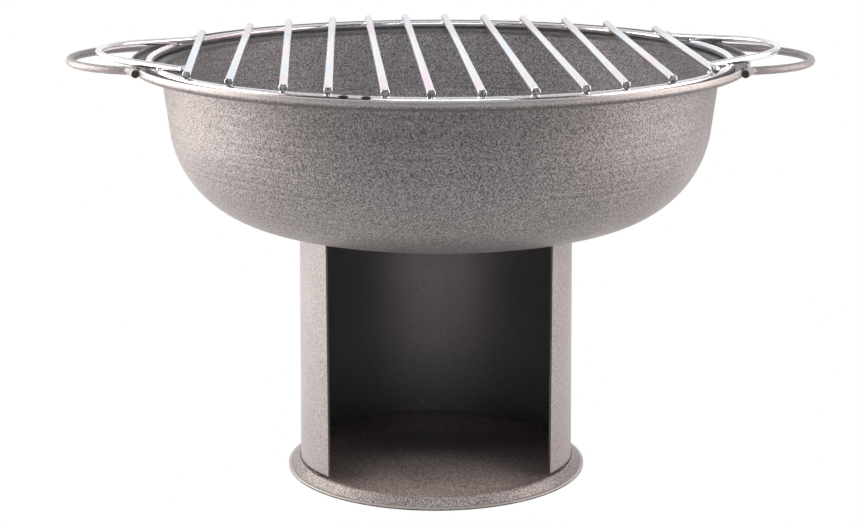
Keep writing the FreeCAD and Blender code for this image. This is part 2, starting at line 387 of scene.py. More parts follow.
def buildRolledSheetTree():
    # a section swept round to a C that widens to its foot, its opening kept as wide there as at the top; its
    # top edge is trimmed to the crowned floor of the bowl and its foot lifts a little towards the opening
    inputs = ("Centre", "Radius", "Flare", "Foot", "Top", "Half Width", "Turn", "Foot Gap", "Gap Angle",
              "Crown Radius", "Crown Low", "Steps")
    tree, given, out = geometryTree("rolledSheetTree", *inputs)
    topOpen = calc(tree, "ARCSINE", calc(tree, "DIVIDE", given["Half Width"], given["Radius"]))
    path = geo(tree, "CurveArc", {
        "Resolution": given["Steps"], "Radius": given["Radius"],
        "Start Angle": calc(tree, "SUBTRACT", topOpen, math.pi / 2),
        "Sweep Angle": calc(tree, "MULTIPLY_ADD", topOpen, -2.0, 2 * math.pi)})
    section = geo(tree, "MeshToCurve", {"Mesh": given["Geometry"]})
    rolled = geo(tree, "CurveToMesh", {"Curve": path, "Profile Curve": section, "Fill Caps": True})
    place = axes(tree, geo(tree, "InputPosition"))
    down = remap(tree, place["Z"], (given["Foot"], given["Top"]), (1.0, 0.0))
    wider = times(tree, given["Flare"], down)
    openHere = calc(tree, "DIVIDE", given["Half Width"], calc(tree, "ADD", given["Radius"], wider))
    halfSheet = calc(tree, "SUBTRACT", math.pi, calc(tree, "ARCSINE", openHere))
    share = calc(tree, "DIVIDE", halfSheet, calc(tree, "SUBTRACT", math.pi, topOpen))
    angle = times(tree, calc(tree, "ARCTAN2", place["X"], place["Y"]), share)
    nearOpening = rise(tree, calc(tree, "ABSOLUTE", angle), (given["Gap Angle"], halfSheet))
    gap = times(tree, nearOpening, given["Foot Gap"], down)
    angle = calc(tree, "SUBTRACT", angle, given["Turn"])
    away = calc(tree, "ADD", calc(tree, "SQRT", squares(tree, place["X"], place["Y"])), wider)
    moved = joinAxes(tree, times(tree, away, calc(tree, "SINE", angle)),
                     times(tree, away, calc(tree, "COSINE", angle)), calc(tree, "ADD", place["Z"], gap))
    moved = vectorCalc(tree, "ADD", moved, given["Centre"])
    rolled = geo(tree, "SetPosition", {"Geometry": rolled, "Position": moved})
    place = axes(tree, geo(tree, "InputPosition"))
    drop = calc(tree, "SUBTRACT", calc(tree, "POWER", given["Crown Radius"], 2.0),
                squares(tree, place["X"], place["Y"]))
    drop = calc(tree, "SUBTRACT", given["Crown Radius"], calc(tree, "SQRT", drop))
    floor = calc(tree, "ADD", given["Crown Low"], drop)
    trimmed = joinAxes(tree, place["X"], place["Y"], calc(tree, "MINIMUM", place["Z"], floor))
    rolled = geo(tree, "SetPosition", {"Geometry": rolled, "Position": trimmed})
    return closeTree(tree, given, out, smoothByAngle(tree, rolled))


def sweepRod(tree, path, radius, sides):
    # keeps the run along the rod and the place round it as attributes for the material
    length = put(tree, "GeometryNodeSplineParameter").outputs["Length"]
    path = geo(tree, "StoreNamedAttribute", {"Geometry": path, "Name": "rodRun", "Value": length},
               data_type="FLOAT", domain="POINT")
    ring = geo(tree, "CurvePrimitiveCircle", {"Resolution": sides, "Radius": radius})
    place = vectorCalc(tree, "NORMALIZE", geo(tree, "InputPosition"), (0, 0, 0))
    section = geo(tree, "StoreNamedAttribute", {"Geometry": ring, "Name": "rodAcross", "Value": place},
                  data_type="FLOAT_VECTOR", domain="POINT")
    swept = geo(tree, "CurveToMesh", {"Curve": path, "Profile Curve": section, "Fill Caps": True})
    return smoothByAngle(tree, swept, angle=50.0)


def buildRodTree():
    tree, given, out = geometryTree("rodTree", "Rod Radius", "Sides")
    path = geo(tree, "MeshToCurve", {"Mesh": given["Geometry"]})
    return closeTree(tree, given, out, sweepRod(tree, path, given["Rod Radius"], given["Sides"]))


def readAttribute(tree, name, kind="FLOAT"):
    return put(tree, "GeometryNodeInputNamedAttribute", {"Name": name}, data_type=kind).outputs["Attribute"]


def buildBarRowTree():
    # one bar on each point, its ends moved by the drift that the point carries
    tree, given, out = geometryTree("barRowTree", "End Radius", "Rod Radius", "Sides", "Turn")
    line = geo(tree, "CurvePrimitiveLine", {"Start": (0, -1, 0), "End": (0, 1, 0)})
    lines = geo(tree, "InstanceOnPoints", {"Points": given["Geometry"], "Instance": line})
    lines = geo(tree, "RealizeInstances", {"Geometry": lines})
    place = axes(tree, geo(tree, "InputPosition"))
    toRear = calc(tree, "MULTIPLY_ADD", place["Y"], 0.5, 0.5)
    front = readAttribute(tree, "frontDrift")
    rear = readAttribute(tree, "rearDrift")
    drift = calc(tree, "MULTIPLY_ADD", calc(tree, "SUBTRACT", rear, front), toRear, front)
    side = calc(tree, "ADD", place["X"], drift)
    reach = calc(tree, "SUBTRACT", calc(tree, "POWER", given["End Radius"], 2.0),
                 calc(tree, "POWER", side, 2.0))
    spot = joinAxes(tree, side, times(tree, place["Y"], calc(tree, "SQRT", reach)), place["Z"])
    lines = geo(tree, "SetPosition", {"Geometry": lines, "Position": spot})
    bars = sweepRod(tree, lines, given["Rod Radius"], given["Sides"])
    turned = geo(tree, "Transform", {"Geometry": bars, "Rotation": joinAxes(tree, z=given["Turn"])})
    return closeTree(tree, given, out, turned)


def buildBeadTree():
    # a lumpy bead on each point, sized and turned by what the point carries
    tree, given, out = geometryTree("beadTree", "Lump", "Lump Scale")
    ball = geo(tree, "MeshIcoSphere", {"Radius": 1.0, "Subdivisions": 3})
    turn = put(tree, "FunctionNodeEulerToRotation", {0: readAttribute(tree, "beadTurn", "FLOAT_VECTOR")})
    beads = geo(tree, "InstanceOnPoints", {
        "Points": given["Geometry"], "Instance": ball, "Rotation": turn.outputs[0],
        "Scale": readAttribute(tree, "beadSize", "FLOAT_VECTOR")})
    beads = geo(tree, "RealizeInstances", {"Geometry": beads})
    lumps = noise(tree, geo(tree, "InputPosition"), given["Lump Scale"], detail=1.0)
    push = times(tree, calc(tree, "SUBTRACT", lumps, 0.5), given["Lump"])
    away = scaled(tree, geo(tree, "InputNormal"), push)
    beads = geo(tree, "SetPosition", {"Geometry": beads, "Offset": away})
    return closeTree(tree, given, out, smoothByAngle(tree, beads, angle=80.0))


spunSheetTree = buildSpunSheetTree()
ventTree = buildVentTree()
rolledSheetTree = buildRolledSheetTree()
rodTree = buildRodTree()
barRowTree = buildBarRowTree()
beadTree = buildBeadTree()
print("geometry trees built")


# piece helpers

def lineObject(name, points, closed):
    # a chain of points joined by edges, which a tree then spins or sweeps
    mesh = bpy.data.meshes.new(name)
    last = len(points) if closed else len(points) - 1
    chain = [(index, (index + 1) % len(points)) for index in range(last)]
    mesh.from_pydata(points, chain, [])
    piece = bpy.data.objects.new(name, mesh)
    scene.collection.objects.link(piece)
    return piece


def runTree(piece, tree, values):
    # runs the tree on the piece and keeps the result as its plain mesh
    modifier = piece.modifiers.new(tree.name, "NODES")
    modifier.node_group = tree
    for item in tree.interface.items_tree:
        if item.in_out == "INPUT" and item.name in values:
            modifier[item.identifier] = values[item.name]
    bpy.context.view_layer.update()
    graph = bpy.context.evaluated_depsgraph_get()
    made = piece.evaluated_get(graph)
    mesh = bpy.data.meshes.new_from_object(made, preserve_all_data_layers=True, depsgraph=graph)
    piece.modifiers.remove(modifier)
    piece.data = mesh
    mesh.name = piece.name
    return piece


def openShape(piece):
    # the piece's mesh for editing, its repeated points joined and its faces turned outwards
    shape = bmesh.new()
    shape.from_mesh(piece.data)
    bmesh.ops.remove_doubles(shape, verts=shape.verts, dist=mergeGap)
    bmesh.ops.recalc_face_normals(shape, faces=shape.faces)
    return shape


def closeShape(shape, piece):
    shape.to_mesh(piece.data)
    shape.free()


def finishRod(piece, rounding):
    # rounds the cut ends and marks their flat faces, which have more than four corners, for the material
    shape = openShape(piece)
    rims = [edge for edge in shape.edges if any(len(face.verts) > 4 for face in edge.link_faces)]
    if rims:
        bmesh.ops.bevel(shape, geom=rims, offset=rounding, segments=3, profile=0.5, affect="EDGES")
    cutEnd = shape.faces.layers.float.new("cutEnd")
    for face in shape.faces:
        flat = len(face.verts) > 4
        face[cutEnd] = float(flat)
        face.smooth = not flat
    for edge in shape.edges:
        edge.smooth = True
    closeShape(shape, piece)


def markCaps(piece):
    # marks the cut edges of a swept sheet for the material
    store = piece.data.attributes.new("cutEnd", "FLOAT", "FACE")
    for item, face in zip(store.data, piece.data.polygons):
        item.value = float(len(face.vertices) > 4)


def pointCloud(name, points, attributes):
    # a chain of points, each carrying named values for a tree to read
    piece = lineObject(name, points, False)
    for label, (kind, field, values) in attributes.items():
        store = piece.data.attributes.new(label, kind, "POINT")
        for item, value in zip(store.data, values):
            setattr(item, field, value)
    return piece


def arcPoints(centre, radius, start, end, count):
    turns = [start + (end - start) * index / count for index in range(count + 1)]
    return [(centre[0] + radius * math.cos(turn), centre[1] + radius * math.sin(turn)) for turn in turns]


def withoutRepeats(points):
    kept = []
    for point in points:
        if not kept or math.dist(point, kept[-1]) > repeatGap:
            kept.append(point)
    return kept


def mirrored(half):
    # a half outline that starts on the X axis, with its mirror image before it
    return [(x, -y) for x, y in half[:0:-1]] + half


def roundCorners(corners, radii, count):
    # a chain of straight lines with an arc in place of each inner corner
    points = [corners[0]]
    for before, corner, after, radius in zip(corners, corners[1:], corners[2:], radii):
        here = Vector(corner)
        first = (Vector(before) - here).normalized()
        second = (Vector(after) - here).normalized()
        half = first.angle(second) / 2
        centre = here + (first + second).normalized() * radius / math.sin(half)
        ends = [here + way * radius / math.tan(half) - centre for way in (first, second)]
        start = math.atan2(ends[0].y, ends[0].x)
        turn = math.remainder(math.atan2(ends[1].y, ends[1].x) - start, 2 * math.pi)
        points += arcPoints(centre, radius, start, start + turn, count)
    return points + [corners[-1]]


def withSupports(points, closed, margin=0.0008):
    # more points near the ends of long straight runs, so that the shading stays flat along them
    kept = []
    follow = points[1:] + points[:1] if closed else points[1:]
    for point, after in zip(points, follow):
        kept.append(point)
        length = math.dist(point, after)
        if length > 4 * margin:
            shares = (margin / length, 0.5, 1 - margin / length)
            kept += [tuple(Vector(point).lerp(Vector(after), share)) for share in shares]
    return kept if closed else kept + points[-1:]


def spin(name, outline, closed, steps, material):
    pathRadius = 0.1
    points = [(across - pathRadius, -height, 0) for across, height in withSupports(outline, closed)]
    piece = lineObject(name, points, closed)
    runTree(piece, spunSheetTree, {"Path Radius": pathRadius, "Steps": steps, "Material": material})
    closeShape(openShape(piece), piece)
    return piece


def axisDistance(tree, place, centre=(0, 0, 0)):
    parts = axes(tree, vectorCalc(tree, "SUBTRACT", place, centre))
    return calc(tree, "SQRT", squares(tree, parts["X"], parts["Y"])), parts["Z"]


# bowl: spun sheet with a flange, an upturned lip and vents in the floor

bowlValues = {
    "sheet": 0.0012, "flangeWidth": 0.017, "flangeBend": 0.002, "lipRise": 0.0045, "lipBend": 0.0022,
    "wallDraft": 7.0, "cornerRadius": 0.062, "crownRadius": 0.456, "steps": 224, "floorSteps": 16,
    "cornerSteps": 28, "bendSteps": 7, "lipSteps": 8,
    "ventRadius": 0.005, "ventCount": 6, "ventCircle": 0.038, "ventSides": 48, "punchDepth": 0.02,
    "insideSpan": (-0.001, 0.001), "insidePaintedLight": 1.55,
    # from the flange's height, the wall and the lip's side
    "seatHeight": (-0.0034, -0.0022), "seatStart": (-0.003, -0.001), "seatEnd": (-0.0005, -0.0009),
    # from the lip's height and side
    "underHeight": (-0.0032, -0.0044), "underWidth": 0.006, "sheenHeight": (-0.0034, -0.0026),
    "highlightHeight": (-0.0012, -0.0003), "highlightSide": (-0.0008, -0.0004),
    "seatPaintedShadow": 0.36, "underPaintedShadow": 0.42, "lipPaintedSheen": 0.42, "highlightMix": 0.8, "highlightColor": (0.65, 0.64, 0.64, 1),
}


def bowlOutline():
    size = bowlValues
    draft = math.radians(size["wallDraft"])
    wallRadius = lipRadius - size["flangeWidth"]
    flangeUnder = lipHeight - size["lipRise"] - size["sheet"]
    wallOut = Vector((math.cos(draft), -math.sin(draft)))
    wallDown = Vector((-math.sin(draft), -math.cos(draft)))
    floorCentre = Vector((0, bowlLow.z + size["crownRadius"]))
    inset = Vector((wallRadius, flangeUnder)) - wallOut * size["cornerRadius"]
    fromFloor = inset - floorCentre
    along = fromFloor.dot(wallDown)
    apart = size["crownRadius"] - size["cornerRadius"]
    corner = inset + wallDown * (-along + math.sqrt(along ** 2 - fromFloor.dot(fromFloor) + apart ** 2))
    cornerLow = math.atan2(corner.y - floorCentre.y, corner.x)
    bendSide = size["flangeBend"] * (1 - math.sin(draft)) / math.cos(draft)
    bend = (wallRadius + bendSide, flangeUnder - size["flangeBend"])
    lipOuter = size["lipBend"] + size["sheet"]
    lip = (lipRadius - lipOuter, flangeUnder + lipOuter)
    edgeRadius = size["sheet"] / 2
    edge = (lipRadius - edgeRadius, lipHeight - edgeRadius)

    def side(offset):
        floor = size["crownRadius"] - offset
        ventTurn = -math.pi / 2 + math.asin(size["ventRadius"] / floor)
        points = arcPoints(floorCentre, floor, ventTurn, cornerLow, size["floorSteps"])
        points += arcPoints(corner, size["cornerRadius"] - offset, cornerLow, -draft, size["cornerSteps"])
        bendRadius = size["flangeBend"] + offset
        points += arcPoints(bend, bendRadius, math.pi - draft, math.pi / 2, size["bendSteps"])
        return points + arcPoints(lip, lipOuter - offset, -math.pi / 2, 0, size["lipSteps"])

    rim = arcPoints(edge, edgeRadius, 0, math.pi, size["lipSteps"])
    return withoutRepeats(side(0) + rim + side(size["sheet"])[::-1])


def bowlShade(tree, place, color):
    # painted light making the inside lighter, painted shadow on the flange where the grate rests and in a line
    # under the lip's bend, a painted sheen along the lip's outer face and a painted highlight along its top
    look = bowlValues
    facing = put(tree, "ShaderNodeNewGeometry").outputs["Normal"]
    inwards = vectorCalc(tree, "DOT_PRODUCT", facing, vectorCalc(tree, "SUBTRACT", (0, 0, lipHeight), place))
    # painted light: the inside of the bowl is made lighter
    lift = remap(tree, inwards, look["insideSpan"], (1.0, look["insidePaintedLight"]))
    color = scaled(tree, color, lift)
    away, height = axisDistance(tree, place)
    # painted shadow on the flange under the grate's ring and on the lip's inner face
    seat = times(tree, rise(tree, height, offsetSpan(lipHeight - look["lipRise"], look["seatHeight"])),
                 rise(tree, away, offsetSpan(lipRadius - look["flangeWidth"], look["seatStart"])),
                 rise(tree, away, offsetSpan(lipRadius, look["seatEnd"])),
                 calc(tree, "GREATER_THAN", inwards, 0.0))
    color = darken(tree, color, seat, look["seatPaintedShadow"])
    # painted shadow line under the lip's bend
    under = times(tree, rise(tree, height, offsetSpan(lipHeight, look["underHeight"])),
                  calc(tree, "GREATER_THAN", away, lipRadius - look["underWidth"]),
                  calc(tree, "LESS_THAN", inwards, 0.0))
    color = darken(tree, color, under, look["underPaintedShadow"])
    # painted sheen on the lip's outer face and a painted highlight along its top
    lipSheen = rise(tree, height, offsetSpan(lipHeight, look["sheenHeight"]), look["lipPaintedSheen"])
    paintedHighlight = rise(tree, height, offsetSpan(lipHeight, look["highlightHeight"]), look["highlightMix"])
    outerHalf = rise(tree, away, offsetSpan(lipRadius, look["highlightSide"]))
    paintedHighlight = times(tree, calc(tree, "MAXIMUM", lipSheen, paintedHighlight), outerHalf)
    return mixColor(tree, paintedHighlight, color, look["highlightColor"])


bowlPaint = makePaint("bowlPaint", contrast=0.58, blotch=0.2, spun=True, shade=bowlShade)
bowl = spin("bowlShell", bowlOutline(), True, bowlValues["steps"], bowlPaint)
runTree(bowl, ventTree, {
    "Count": bowlValues["ventCount"], "Circle Radius": bowlValues["ventCircle"],
    "Hole Radius": bowlValues["ventRadius"], "Sides": bowlValues["ventSides"],
    "Depth": bowlValues["punchDepth"], "Height": bowlLow.z, "Material": bowlPaint})
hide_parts("bowl")
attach(bowl, "stand")
print("bowl spun:", len(bowl.data.polygons), "faces")


# foot plate: pressed sheet, raised in the middle, with a slope round it down to a flat rim

plateValues = {
    "sheet": 0.0015, "rim": 0.002, "slope": 0.0045, "bend": 0.0008, "edgeRound": 0.0004, "steps": 192,
    "bendSteps": 5, "floorTint": (1.0, 0.88, 0.83, 1), "slopeShadeTint": (0.48, 0.465, 0.455, 1),
    "frontLightTint": (0.80, 0.76, 0.74, 1), "slopeSpan": (-0.001, 0.001), "frontSpan": (-0.045, -0.088),
    "highlightColor": (0.5, 0.48, 0.47, 1), "highlightSpan": (0.0, 0.0005), "highlightHeight": (0.0008, 0.0012),
    "underPaintedShadow": 0.35, "underHeight": (0.0009, 0.0006), "footShadow": 0.35, "footLine": 0.0006,
    "backWay": (-0.045, 1, 0), "openingEdge": -0.0508, "paintedShadowShade": 0.5, "shadowLeast": 0.4,
    "shadowSpan": (0.072, 0.098), "litPlace": (0, -0.05, 0.006), "litSpan": (0.03, 0.062),
}


def plateOutline():
    size = plateValues
    edge = plateHigh.x - standCentre
    rim = edge - size["rim"]
    shoulder = rim - size["slope"]
    under = plateHigh.z - size["sheet"]
    inset = size["sheet"] * math.tan(math.atan2(under, size["slope"]) / 2)
    corners = [(0, under), (shoulder - inset, under), (rim - inset, 0), (edge, 0), (edge, size["sheet"]),
               (rim, size["sheet"]), (shoulder, plateHigh.z), (0, plateHigh.z)]
    inner = size["bend"]
    outer = inner + size["sheet"]
    corner = size["edgeRound"]
    return roundCorners(corners, (inner, outer, corner, corner, inner, outer), size["bendSteps"])


def plateShade(tree, place, color):
    # browner paint on the floor, under a painted shadow that clears towards the opening; painted shade on the
    # slope, lifted at its front as painted light; a painted highlight on the rim's top; painted shadow at the
    # rim's foot and in a line at the pedestal's foot
    look = plateValues
    rim = plateHigh.x - standCentre - look["rim"]
    away, height = axisDistance(tree, place, (standCentre, 0, 0))
    behind = vectorCalc(tree, "DOT_PRODUCT", place, look["backWay"])
    # painted contact shadow in a line along the pedestal's foot
    apart = calc(tree, "ABSOLUTE", calc(tree, "SUBTRACT", away, pedestalRadius + look["footLine"] / 2))
    line = times(tree, rise(tree, apart, (look["footLine"] * 1.5, look["footLine"] * 0.5)),
                 calc(tree, "GREATER_THAN", behind, look["openingEdge"]))
    color = darken(tree, color, line, look["footShadow"])
    # painted shadow over the floor inside the pedestal, clear in a pool of painted light behind the opening
    fromLit = vectorCalc(tree, "DISTANCE", place, look["litPlace"])
    paintedShadow = times(tree, rise(tree, fromLit, look["litSpan"]),
                 remap(tree, fromLit, look["shadowSpan"], (1.0, look["shadowLeast"]), True),
                 calc(tree, "LESS_THAN", away, pedestalRadius))
    color = darken(tree, color, paintedShadow, look["paintedShadowShade"])
    # painted shade on the slope, less of it at the front as painted light
    onSlope = remap(tree, away, offsetSpan(rim - look["slope"], look["slopeSpan"]), (0.0, 1.0))
    tint = mixColor(tree, rise(tree, behind, look["frontSpan"]), look["slopeShadeTint"], look["frontLightTint"])
    tint = mixColor(tree, onSlope, look["floorTint"], tint)
    color = mixColor(tree, 1.0, color, tint, "MULTIPLY")
    # painted highlight along the rim's top
    paintedHighlight = times(tree, rise(tree, away, offsetSpan(rim, look["highlightSpan"])),
                 rise(tree, height, look["highlightHeight"]))
    color = mixColor(tree, paintedHighlight, color, look["highlightColor"])
    # painted contact shadow along the rim's foot
    under = remap(tree, height, look["underHeight"], (1.0, look["underPaintedShadow"]))
    return scaled(tree, color, under)


# the lift gives the plate a lighter paint, and is partly painted light making up for light the plate gets
platePaint = makePaint("platePaint", contrast=0.6, blotch=0.25, lift=1.72, coat=0.1, shade=plateShade)
plate = spin("footPlate", plateOutline(), False, plateValues["steps"], platePaint)
plate.data.transform(Matrix.Translation((standCentre, 0, 0)))
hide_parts("base_disc")
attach(plate, "stand")
print("foot plate pressed:", len(plate.data.polygons), "faces")


# pedestal: sheet rolled to a C, open to the front

pedestalValues = {
    "sheet": 0.0012, "flare": 0.0013, "halfWidth": 0.065, "turn": 2.6, "edgeRound": 0.00035, "edgeSteps": 4,
    "steps": 180, "sink": 0.0003, "footGap": 0.0014, "gapAngle": 92.0,
    "insideShadeTone": (0.203, 0.195, 0.211, 1), "insideMix": 0.7,
    "insideDepth": (-0.6, -0.9),        # shares of the sheet
    "paintedShadowShade": 0.66, "shadowAside": (0.018, 0.055), "shadowHeight": (0.04, 0.1),
    "spotPlace": (-0.0123, 0.081, 0.0123), "spotSize": 0.0022, "spotCore": 0.4, "spotLight": 1.5,
}


def sheetSection():
    # the sheet's section seen along its edge: X from the middle of the sheet, Y downwards
    size = pedestalValues
    half = size["sheet"] / 2
    low = pedestalLow.z
    high = pedestalHigh.z + size["sink"]
    loop = [(0, high), (half, high), (half, low), (-half, low), (-half, high), (0, high)]
    outline = roundCorners(loop, (size["edgeRound"],) * 4, size["edgeSteps"])[:-1]
    return [(across, -height, 0) for across, height in withSupports(outline, True)]


def sheetShade(tree, place, color):
    # evener paint inside, darkened there as painted shade and more so towards the sides,
    # with one faint bright spot low at the rear
    look = pedestalValues
    away, height = axisDistance(tree, place, (standCentre, 0, 0))
    outer = remap(tree, height, (pedestalLow.z, pedestalHigh.z), (0.0, -look["flare"]))
    depth = calc(tree, "SUBTRACT", calc(tree, "SUBTRACT", away, pedestalRadius), outer)
    # painted shade: a darker, evener tone inside the sheet
    depths = [share * look["sheet"] for share in look["insideDepth"]]
    inside = remap(tree, depth, depths, (0.0, look["insideMix"]))
    color = mixColor(tree, inside, color, look["insideShadeTone"])
    # painted shade on the inside towards the sides, growing upwards
    aside = calc(tree, "ABSOLUTE", axes(tree, place)["X"])
    paintedShadow = times(tree, rise(tree, aside, look["shadowAside"]), rise(tree, height, look["shadowHeight"]),
                 calc(tree, "GREATER_THAN", inside, look["insideMix"] / 2))
    color = darken(tree, color, paintedShadow, look["paintedShadowShade"])
    toSpot = vectorCalc(tree, "DISTANCE", place, look["spotPlace"])
    spotSpan = (look["spotSize"], look["spotSize"] * look["spotCore"])
    return scaled(tree, color, remap(tree, toSpot, spotSpan, (1.0, look["spotLight"]), True))


# the lift is partly painted light on the pedestal's lit sides
sheetPaint = makePaint("sheetPaint", contrast=0.32, blotch=0.2, lift=1.24, cutEnds=True, shade=sheetShade)
pedestal = runTree(lineObject("pedestalSheet", sheetSection(), True), rolledSheetTree, {
    "Centre": (standCentre, 0, 0), "Steps": pedestalValues["steps"],
    "Radius": pedestalRadius - pedestalValues["flare"] - pedestalValues["sheet"] / 2,
    "Flare": pedestalValues["flare"], "Foot": pedestalLow.z, "Top": pedestalHigh.z + pedestalValues["sink"],
    "Half Width": pedestalValues["halfWidth"], "Turn": math.radians(pedestalValues["turn"]),
    "Foot Gap": pedestalValues["footGap"], "Gap Angle": math.radians(pedestalValues["gapAngle"]),
    "Crown Radius": bowlValues["crownRadius"], "Crown Low": bowlLow.z + pedestalValues["sink"],
    "Material": sheetPaint})
closeShape(openShape(pedestal), pedestal)
markCaps(pedestal)
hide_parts("pedestal")
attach(pedestal, "stand")
print("pedestal rolled:", len(pedestal.data.polygons), "faces")


# side handles: rod bowed out and turned along the lip at both feet

handleValues = {
    "reach": 0.0367, "bowRadius": 0.054, "bend": 0.006, "footAngle": 3.5, "drop": 0.0022, "weldSink": 0.00035,
    "sides": 28, "endRound": 0.0003, "bowSteps": 36, "bendSteps": 12, "footSteps": 6,
}
handleHeight = lipHeight - handleValues["drop"]
handleBowX = lipRadius + handleValues["reach"] - handleValues["bowRadius"]
handleFootRadius = lipRadius + rodRadius - handleValues["weldSink"]
handleBendOut = handleFootRadius + handleValues["bend"]


def footAngles():
    # the angles round the bowl at which a foot leaves its bend and ends
    bowOut = handleValues["bowRadius"] + handleValues["bend"]
    cosine = (handleBendOut ** 2 + handleBowX ** 2 - bowOut ** 2) / (2 * handleBendOut * handleBowX)
    start = math.acos(cosine)
    return start, start + math.radians(handleValues["footAngle"])


footStart, footEnd = footAngles()


def handlePath():
    size = handleValues
    bend = (handleBendOut * math.cos(footStart), handleBendOut * math.sin(footStart))
    bowEnd = math.atan2(bend[1], bend[0] - handleBowX)
    half = arcPoints((handleBowX, 0), size["bowRadius"], 0, bowEnd, size["bowSteps"])
    half += arcPoints(bend, size["bend"], bowEnd + math.pi, footStart + math.pi, size["bendSteps"])
    half += arcPoints((0, 0), handleFootRadius, footStart, footEnd, size["footSteps"])
    return [(x, y, handleHeight) for x, y in mirrored(withoutRepeats(half))]


def makeRod(name, points, closed, radius, sides, turn, material):
    rod = lineObject(name, points, closed)
    rod.data.transform(Matrix.Rotation(turn, 4, "Z"))
    runTree(rod, rodTree, {"Rod Radius": radius, "Sides": sides, "Material": material})
    finishRod(rod, handleValues["endRound"])
    return rod


for name, node, turn in (("handleRodRight", "handle_right", 0.0), ("handleRodLeft", "handle_left", math.pi)):
    handle = makeRod(name, handlePath(), False, rodRadius, handleValues["sides"], turn, rodPaint)
    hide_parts(node)
    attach(handle, "stand")
print("handles bent")


# grate: ring, row of bars and two lifting loops, all riding on the loose grate

grateValues = {
    "outerShare": 0.85, "overhang": 0.002, "turn": math.radians(3.5), "weldSink": 0.00035, "ringSteps": 320,
    "sides": 28, "endRound": 0.0005, "loopRadius": 0.002, "loopReach": 0.0185, "loopBend": 0.054,
    "loopSpread": 0.070, "loopRise": 2.5, "loopSteps": 40, "markAngles": (-106.8, -102.7), "markLift": 0.0016,
    "frontDrift": (1.6, -1.0, 1.6, -1.6, 1.1, -2.0, -2.3, -0.7, 0.0, -3.9, -2.1, 0.0),        # millimetres
    "rearDrift": (0.3, 3.0, 1.6, 4.0, 1.6, 0.2, 0.3, -0.2, -1.0, -1.0, -2.3, -1.6),
}
frontDrift = [drift / 1000 for drift in grateValues["frontDrift"]]
rearDrift = [drift / 1000 for drift in grateValues["rearDrift"]]
barCount = len(frontDrift)
outerBar = grateValues["outerShare"] * ringRadius
pitch = 2 * outerBar / (barCount - 1)
barHeight = ringHeight + 2 * rodRadius - grateValues["weldSink"]
barReach = ringRadius + grateValues["overhang"]
loopHeight = ringHeight + rodRadius + grateValues["loopRadius"] - grateValues["weldSink"]


def ringPath():
    points = arcPoints((0, 0), ringRadius, 0, 2 * math.pi, grateValues["ringSteps"])[:-1]
    return [(x, y, ringHeight) for x, y in points]


def loopPlan():
    # a loop's bend and its straight leg on the side +y, which ends at the outer bar and crosses the ring
    bendRadius = grateValues["loopBend"]
    bendX = lipRadius + grateValues["loopReach"] - bendRadius
    corner = Vector((outerBar, grateValues["loopSpread"]))
    reach = corner - Vector((bendX, 0))
    legAngle = math.atan2(reach.y, reach.x) - math.acos(bendRadius / reach.length)
    bendEnd = Vector((bendX + bendRadius * math.cos(legAngle), bendRadius * math.sin(legAngle)))
    leg = (bendEnd - corner).normalized()
    inside = corner.dot(leg)
    crossing = corner + leg * (math.sqrt(inside ** 2 + ringRadius ** 2 - corner.length_squared) - inside)
    return bendX, corner, legAngle, crossing


loopBendX, loopCorner, loopLegAngle, loopCrossing = loopPlan()


def loopPath():
    # drawn level, then tipped up about its crossing with the ring
    half = arcPoints((loopBendX, 0), grateValues["loopBend"], 0, loopLegAngle, grateValues["loopSteps"])
    pivot = Vector((loopCrossing.x, 0, loopHeight))
    tip = Matrix.Rotation(math.radians(-grateValues["loopRise"]), 4, "Y")
    points = mirrored(half + [tuple(loopCorner)])
    return [tuple(pivot + tip @ (Vector((x, y, loopHeight)) - pivot)) for x, y in points]


def markPlace(angle):
    turn = math.radians(angle)
    outside = ringRadius + rodRadius
    return outside * math.cos(turn), outside * math.sin(turn), ringHeight + grateValues["markLift"]


loopZinc = makeZinc("loopZinc", zincValues["ringTint"])
# two painted shadow spots on the front of the ring
ringMarks = [markPlace(angle) for angle in grateValues["markAngles"]]
ringZinc = makeZinc("ringZinc", zincValues["ringTint"], ringMarks)
ring = makeRod("grateRing", ringPath(), True, rodRadius, grateValues["sides"], grateValues["turn"], ringZinc)
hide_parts("grate_ring")
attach(ring, "grate")
loopSides = (("grateLoopRight", "grate_loop_right", 0.0), ("grateLoopLeft", "grate_loop_left", math.pi))
for name, node, turn in loopSides:
    loop = makeRod(name, loopPath(), False, grateValues["loopRadius"], grateValues["sides"],
                   grateValues["turn"] + turn, loopZinc)
    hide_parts(node)
    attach(loop, "grate")

row = pointCloud("grateBars", [(index * pitch - outerBar, 0, barHeight) for index in range(barCount)], {
    "frontDrift": ("FLOAT", "value", frontDrift), "rearDrift": ("FLOAT", "value", rearDrift)})
bars = runTree(row, barRowTree, {
    "End Radius": barReach, "Rod Radius": rodRadius, "Sides": grateValues["sides"],
    "Turn": grateValues["turn"], "Material": brightZinc})
finishRod(bars, grateValues["endRound"])
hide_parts(*["grate_bar_%02d" % (index + 1) for index in range(barCount)])
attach(bars, "grate")
print("grate built:", len(bars.data.polygons), "bar faces")


# weld beads: on the grate under every bar end and at the loops, on the stand at the handles and the pedestal

